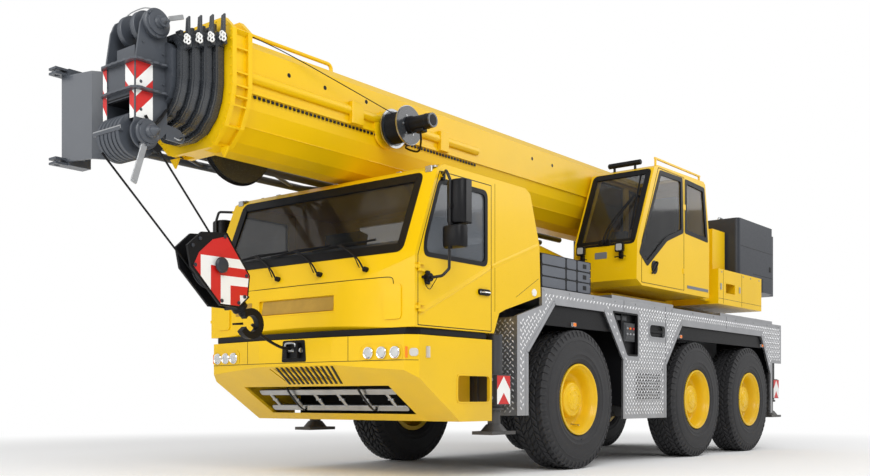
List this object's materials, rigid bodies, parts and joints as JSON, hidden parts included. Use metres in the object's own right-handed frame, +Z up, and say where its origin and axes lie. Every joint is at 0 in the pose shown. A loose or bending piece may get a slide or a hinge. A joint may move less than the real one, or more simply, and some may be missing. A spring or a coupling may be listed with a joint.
{
  "type": "mobile crane",
  "caption": "Road-going telescopic-boom crane on steered axles, with a slewing upper part, a tilting operator cab and sliding outriggers.",
  "frame": {"origin": "on the ground, at the middle of the parked crane's box", "axes": "+X forwards along the boom, +Y to the driver's left, +Z up"},
  "size_m": [10, 3.11, 3.538],
  "materials": {
    "yellow": "semi-gloss signal yellow",
    "dark_grey": "satin slate grey",
    "black": "matt black",
    "frame_grey": "satin dark grey",
    "chequer": "bright chequered plate",
    "tyre": "matt rubber",
    "glass": "tinted",
    "lamp": "clear lens",
    "interior": "dark grey plastic and cloth",
    "steel": "bare steel",
    "chrome": "hard chrome"
  },
  "bodies": {
    "chassis": {"chassis_frame": "frame_grey", "drivetrain": "frame_grey", "deck": "chequer", "side_skirts": "chequer", "wheel_arch_panels": "black", "support_mats": "black", "front_bumper": "yellow", "lamps": "lamp", "cab_shell": "yellow", "cab_glass": "glass", "cab_interior": "interior"},
    "steer_front_left": {"knuckle_front_left": "frame_grey"},
    "wheel_front_left": {"tyre_front_left": "tyre", "rim_front_left": "yellow"},
    "steer_front_right": {"knuckle_front_right": "frame_grey"},
    "wheel_front_right": {"tyre_front_right": "tyre", "rim_front_right": "yellow"},
    "steer_middle_left": {"knuckle_middle_left": "frame_grey"},
    "wheel_middle_left": {"tyre_middle_left": "tyre", "rim_middle_left": "yellow"},
    "steer_middle_right": {"knuckle_middle_right": "frame_grey"},
    "wheel_middle_right": {"tyre_middle_right": "tyre", "rim_middle_right": "yellow"},
    "steer_rear_left": {"knuckle_rear_left": "frame_grey"},
    "wheel_rear_left": {"tyre_rear_left": "tyre", "rim_rear_left": "yellow"},
    "steer_rear_right": {"knuckle_rear_right": "frame_grey"},
    "wheel_rear_right": {"tyre_rear_right": "tyre", "rim_rear_right": "yellow"},
    "outrigger_front_left": {"outrigger_beam_front_left": "frame_grey"},
    "jack_leg_front_left": {"jack_front_left": "frame_grey"},
    "outrigger_front_right": {"outrigger_beam_front_right": "frame_grey"},
    "jack_leg_front_right": {"jack_front_right": "frame_grey"},
    "outrigger_rear_left": {"outrigger_beam_rear_left": "frame_grey"},
    "jack_leg_rear_left": {"jack_rear_left": "frame_grey"},
    "outrigger_rear_right": {"outrigger_beam_rear_right": "frame_grey"},
    "jack_leg_rear_right": {"jack_rear_right": "frame_grey"},
    "door_left": {"cab_door_left": "yellow", "cab_door_glass_left": "glass"},
    "door_right": {"cab_door_right": "yellow", "cab_door_glass_right": "glass"},
    "superstructure": {"superstructure_frame": "yellow", "counterweight": "dark_grey", "hoist_drum": "steel"},
    "operator_cab": {"operator_cab_shell": "yellow", "operator_cab_door": "yellow", "operator_cab_glass": "glass", "operator_cab_interior": "interior"},
    "boom": {"boom_base": "yellow", "boom_fittings": "yellow", "rope_reels": "dark_grey", "folding_jib": "dark_grey"},
    "section_1": {"boom_section_1": "dark_grey"},
    "section_2": {"boom_section_2": "dark_grey"},
    "section_3": {"boom_section_3": "dark_grey"},
    "section_4": {"boom_section_4": "dark_grey"},
    "section_5": {"boom_section_5": "dark_grey"},
    "lift_barrel": {"lift_cylinder_barrel": "yellow"},
    "lift_rod": {"lift_cylinder_rod": "chrome"},
    "hook": {"hook_block": "dark_grey"}
  },
  "joints": [
    {"name": "steering_front_left", "type": "hinge", "parent": "chassis", "child": "steer_front_left", "pos_m": [0.57, 0.85, 0.685], "axis": [0, 0, 1], "range_deg": [-35, 35]},
    {"name": "spin_front_left", "type": "hinge", "parent": "steer_front_left", "child": "wheel_front_left", "pos_m": [0.57, 1.062, 0.685], "axis": [0, 1, 0], "continuous": true},
    {"name": "steering_front_right", "type": "hinge", "parent": "chassis", "child": "steer_front_right", "pos_m": [0.57, -0.85, 0.685], "axis": [0, 0, 1], "range_deg": [-35, 35]},
    {"name": "spin_front_right", "type": "hinge", "parent": "steer_front_right", "child": "wheel_front_right", "pos_m": [0.57, -1.062, 0.685], "axis": [0, 1, 0], "continuous": true},
    {"name": "steering_middle_left", "type": "hinge", "parent": "chassis", "child": "steer_middle_left", "pos_m": [-2.18, 0.85, 0.685], "axis": [0, 0, 1], "range_deg": [-14, 14]},
    {"name": "spin_middle_left", "type": "hinge", "parent": "steer_middle_left", "child": "wheel_middle_left", "pos_m": [-2.18, 1.062, 0.685], "axis": [0, 1, 0], "continuous": true},
    {"name": "steering_middle_right", "type": "hinge", "parent": "chassis", "child": "steer_middle_right", "pos_m": [-2.18, -0.85, 0.685], "axis": [0, 0, 1], "range_deg": [-14, 14]},
    {"name": "spin_middle_right", "type": "hinge", "parent": "steer_middle_right", "child": "wheel_middle_right", "pos_m": [-2.18, -1.062, 0.685], "axis": [0, 1, 0], "continuous": true},
    {"name": "steering_rear_left", "type": "hinge", "parent": "chassis", "child": "steer_rear_left", "pos_m": [-3.83, 0.85, 0.685], "axis": [0, 0, 1], "range_deg": [-20, 20]},
    {"name": "spin_rear_left", "type": "hinge", "parent": "steer_rear_left", "child": "wheel_rear_left", "pos_m": [-3.83, 1.062, 0.685], "axis": [0, 1, 0], "continuous": true},
    {"name": "steering_rear_right", "type": "hinge", "parent": "chassis", "child": "steer_rear_right", "pos_m": [-3.83, -0.85, 0.685], "axis": [0, 0, 1], "range_deg": [-20, 20]},
    {"name": "spin_rear_right", "type": "hinge", "parent": "steer_rear_right", "child": "wheel_rear_right", "pos_m": [-3.83, -1.062, 0.685], "axis": [0, 1, 0], "continuous": true},
    {"name": "outrigger_slide_front_left", "type": "slide", "parent": "chassis", "child": "outrigger_front_left", "axis": [0, 1, 0], "range_m": [0, 1.75]},
    {"name": "jack_slide_front_left", "type": "slide", "parent": "outrigger_front_left", "child": "jack_leg_front_left", "axis": [0, 0, -1], "range_m": [0, 0.5]},
    {"name": "outrigger_slide_front_right", "type": "slide", "parent": "chassis", "child": "outrigger_front_right", "axis": [0, -1, 0], "range_m": [0, 1.75]},
    {"name": "jack_slide_front_right", "type": "slide", "parent": "outrigger_front_right", "child": "jack_leg_front_right", "axis": [0, 0, -1], "range_m": [0, 0.5]},
    {"name": "outrigger_slide_rear_left", "type": "slide", "parent": "chassis", "child": "outrigger_rear_left", "axis": [0, 1, 0], "range_m": [0, 1.75]},
    {"name": "jack_slide_rear_left", "type": "slide", "parent": "outrigger_rear_left", "child": "jack_leg_rear_left", "axis": [0, 0, -1], "range_m": [0, 0.5]},
    {"name": "outrigger_slide_rear_right", "type": "slide", "parent": "chassis", "child": "outrigger_rear_right", "axis": [0, -1, 0], "range_m": [0, 1.75]},
    {"name": "jack_slide_rear_right", "type": "slide", "parent": "outrigger_rear_right", "child": "jack_leg_rear_right", "axis": [0, 0, -1], "range_m": [0, 0.5]},
    {"name": "door_hinge_left", "type": "hinge", "parent": "chassis", "child": "door_left", "pos_m": [3.073, 1.265, 1.9], "axis": [0, 0, -1], "range_deg": [0, 70]},
    {"name": "door_hinge_right", "type": "hinge", "parent": "chassis", "child": "door_right", "pos_m": [3.073, -1.265, 1.9], "axis": [0, 0, 1], "range_deg": [0, 70]},
    {"name": "slew", "type": "hinge", "parent": "chassis", "child": "superstructure", "pos_m": [-2.15, 0, 1.79], "axis": [0, 0, 1], "continuous": true},
    {"name": "operator_cab_tilt", "type": "hinge", "parent": "superstructure", "child": "operator_cab", "pos_m": [-2.56, 0.86, 1.96], "axis": [0, -1, 0], "range_deg": [0, 20]},
    {"name": "boom_lift", "type": "hinge", "parent": "superstructure", "child": "boom", "pos_m": [-4.03, 0, 2.95], "axis": [0, -1, 0], "range_deg": [0, 78]},
    {"name": "telescope_1", "type": "slide", "parent": "boom", "child": "section_1", "axis": [1, 0, 0], "range_m": [0, 6.7]},
    {"name": "telescope_2", "type": "slide", "parent": "section_1", "child": "section_2", "axis": [1, 0, 0], "range_m": [0, 6.7]},
    {"name": "telescope_3", "type": "slide", "parent": "section_2", "child": "section_3", "axis": [1, 0, 0], "range_m": [0, 6.7]},
    {"name": "telescope_4", "type": "slide", "parent": "section_3", "child": "section_4", "axis": [1, 0, 0], "range_m": [0, 6.7]},
    {"name": "telescope_5", "type": "slide", "parent": "section_4", "child": "section_5", "axis": [1, 0, 0], "range_m": [0, 6.7]},
    {"name": "lift_cylinder_foot", "type": "hinge", "parent": "superstructure", "child": "lift_barrel", "pos_m": [-2.53, 0, 2.05], "axis": [0, -1, 0], "range_deg": [0, 82.91]},
    {"name": "lift_cylinder_stroke", "type": "slide", "parent": "lift_barrel", "child": "lift_rod", "axis": [0.9896, 0, 0.1437], "range_m": [0, 2.1754]},
    {"name": "hook_swing", "type": "hinge", "parent": "section_5", "child": "hook", "pos_m": [4.835, 0, 2.595], "axis": [0, 1, 0], "range_deg": [0, 37.1]}
  ],
  "couplings": [
    {"joint": "steering_front_right", "follows": "steering_front_left", "ratio": 1},
    {"joint": "steering_middle_left", "follows": "steering_front_left", "ratio": 0.4},
    {"joint": "steering_middle_right", "follows": "steering_front_left", "ratio": 0.4},
    {"joint": "steering_rear_right", "follows": "steering_rear_left", "ratio": 1},
    {"joint": "telescope_2", "follows": "telescope_1", "ratio": 1},
    {"joint": "telescope_3", "follows": "telescope_1", "ratio": 1},
    {"joint": "telescope_4", "follows": "telescope_1", "ratio": 1},
    {"joint": "telescope_5", "follows": "telescope_1", "ratio": 1},
    {"joint": "lift_cylinder_foot", "follows": "boom_lift", "ratio": 1.0623},
    {"joint": "lift_cylinder_stroke", "follows": "boom_lift", "m_per_rad": 1.5973},
    {"joint": "hook_swing", "follows": "boom_lift", "ratio": 0.47436}
  ]
}
